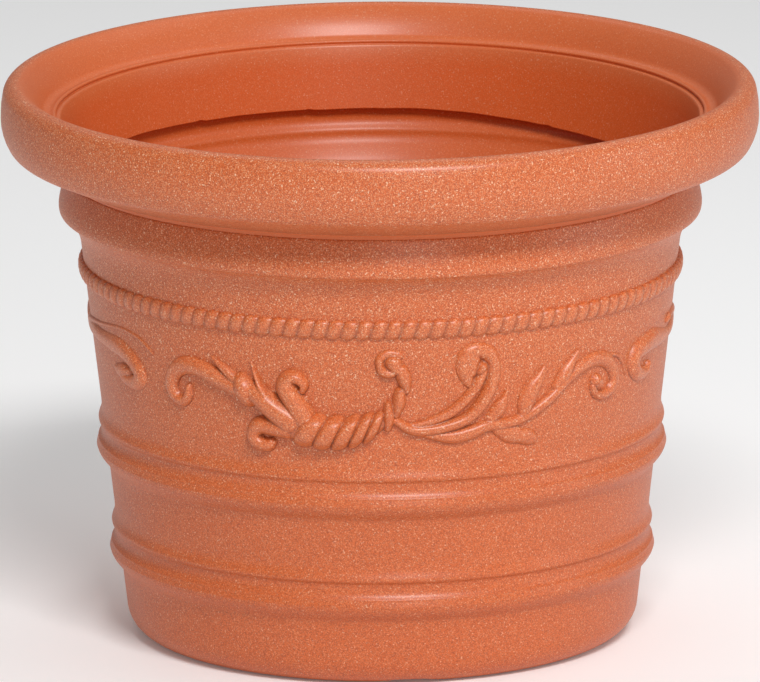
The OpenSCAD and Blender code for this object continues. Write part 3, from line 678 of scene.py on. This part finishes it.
def speckled_plastic(name, base, rough, gloss, grain):
    """Moulded plastic: a slow mottle, a fine grain of darker pits and pale flecks of uneven size and shape, both
    where a fine noise passes a limit, and a pebbled surface under a soft gloss. The flecks grow denser with
    height. Past the rim's crest the skin is nearly plain, the skirt deeper in colour and duller; creases, the
    groove under the rim and the rim's underside are darkened with painted shade."""
    paint = Paint(name, Roughness=rough, IOR=1.5, Specular_IOR_Level=0.32, Coat_Roughness=0.34, Coat_IOR=1.9)
    smooth_side, skirt, crease = paint.kept("smooth_side"), paint.kept("skirt"), paint.kept("crease")
    grainy = grain - smooth_side * grain * 0.75
    height = paint.node("ShaderNodeSeparateXYZ", {}, [paint.place], 2).spread(0.08, 0.24)
    mottle = paint.noise(MOTTLE_WAVES, 3.0).spread(0.3, 0.7)
    fine = paint.noise(FINE_WAVES, 1.0, 0.6)
    coarse = paint.noise(COARSE_WAVES, 1.0)
    pits = 1 - fine.spread(0.34, 0.56)
    flecks = (paint.noise(FLECK_WAVES, 0.0) * 0.8 + coarse * 0.2 + height * 0.035).spread(0.56, 0.65)
    bright = (paint.noise(BRIGHT_WAVES, 0.0) + height * 0.01).spread(0.72, 0.78)
    colour = paint.mix(skirt, base, INNER)
    colour = paint.mix(mottle * 0.25, colour, DEEP)
    colour = paint.mix(pits * grainy * 0.8, colour, PIT)
    colour = paint.mix(flecks * grainy * (height * 0.14 + 0.28), colour, FLECK)
    colour = paint.mix(bright * grainy * (height * 0.25 + 0.3), colour, PALE)
    # Painted shade: creases, the groove under the rim and the rim's underside are mixed towards the dark colour
    colour = paint.mix(crease * 0.85, colour, PAINTED_SHADE)
    rise = (fine * 0.6 + coarse * 0.6 + flecks * 0.3) * grainy
    paint.feed(Base_Color=colour, Roughness=rough + (fine - 0.5) * 0.12, Coat_Weight=gloss - skirt * gloss * 0.9,
               Normal=paint.bump(rise, 0.0005, 0.35))
    return paint.material


def plain_plastic(name, base, dark, rough):
    """Smoother moulded plastic with a slow mottle and a faint grain."""
    paint = Paint(name, Roughness=rough, IOR=1.46)
    mottle = paint.noise(60.0, 3.0).spread(0.3, 0.7)
    fine = paint.noise(700.0)
    paint.feed(Base_Color=paint.mix(mottle * 0.5, base, dark), Roughness=fine * 0.15 + (rough - 0.07),
               Normal=paint.bump(fine, 0.0002, 0.4))
    return paint.material


pot_finish = speckled_plastic("speckled_terracotta", CLAY, 0.58, 0.3, 0.9)
relief_finish = speckled_plastic("speckled_relief", RAISED, 0.54, 0.38, 0.85)
plug_finish = plain_plastic("plug_plastic", PLUG, PLUG_DEEP, 0.5)


# Pieces

skin_points, skin_quads = skin_surface()
new_piece("pot_skin", skin_points, skin_quads, pot_finish, nodes=["pot_shell"], **skin_shades(len(skin_points)))
rope_points, rope_quads, rope_shade = rope_surface()
new_piece("rope_moulding", rope_points, rope_quads, relief_finish, slot="relief_plastic", nodes=["rope_band"],
          crease=rope_shade)
for k in (1, 2):
    for name, (form, box, side_turn) in MOULDINGS.items():
        node = "%s_%d" % (name, k)
        points, quads, crease = relief_surface(form, box, side_turn + 180 * (k - 1))
        new_piece(node + "_relief", points, quads, relief_finish, slot="relief_plastic", nodes=[node],
                  crease=crease)
for k in (1, 2, 3, 4):
    new_piece("drain_plug_%d_body" % k, *plug_surface(k), plug_finish, body="plug_%d" % k, slot="plug_plastic",
              nodes=["drain_plug_%d" % k])


# Studio

def soft_light(name, azimuth, rise, distance, width, height, power):
    """A soft white panel that faces the pot's middle from azimuth (0 in front, + to the right) and rise, in
    degrees, at a distance in metres."""
    a, e = math.radians(azimuth), math.radians(rise)
    out = Vector((math.sin(a) * math.cos(e), -math.cos(a) * math.cos(e), math.sin(e)))
    data = bpy.data.lights.new(name, "AREA")
    data.shape, data.size, data.size_y, data.energy = "RECTANGLE", width, height, power
    lamp = bpy.data.objects.new(name, data)
    lamp.location = Vector((0, 0, 0.2)) + distance * out
    lamp.rotation_euler = out.to_track_quat("Z", "Y").to_euler()
    bpy.context.scene.collection.objects.link(lamp)


def pale_floor():
    """A flat square of 40 m, of white paper that glows a little."""
    mesh = bpy.data.meshes.new("studio_floor")
    mesh.from_pydata([(-20, -20, 0), (20, -20, 0), (20, 20, 0), (-20, 20, 0)], [], [(0, 1, 2, 3)])
    paint = Paint("studio_paper", Roughness=0.9, Emission_Color=(1, 1, 1, 1), Emission_Strength=0.07)
    paint.feed(Base_Color=paint.mix(paint.noise(3.0) * 0.2, (0.93, 0.93, 0.93, 1), (0.91, 0.91, 0.91, 1)))
    mesh.materials.append(paint.material)
    ground = bpy.data.objects.new("studio_floor", mesh)
    bpy.context.scene.collection.objects.link(ground)


pale_floor()
world = bpy.data.worlds.new("studio")
world.use_nodes = True
sky = world.node_tree.nodes["Background"]
sky.inputs["Color"].default_value = (1, 1, 1, 1)
sky.inputs["Strength"].default_value = 0.30
bpy.context.scene.world = world
soft_light("key", 13, 44, 6.0, 2.4, 1.0, 242)
soft_light("front_fill", 12, 18, 6.0, 2.0, 2.0, 28)
soft_light("back_light", 165, 60, 2.2, 3.0, 1.2, 12)
soft_light("right_fill", 80, 15, 4.0, 2.4, 2.4, 23)
bpy.context.scene.view_settings.view_transform = "Standard"
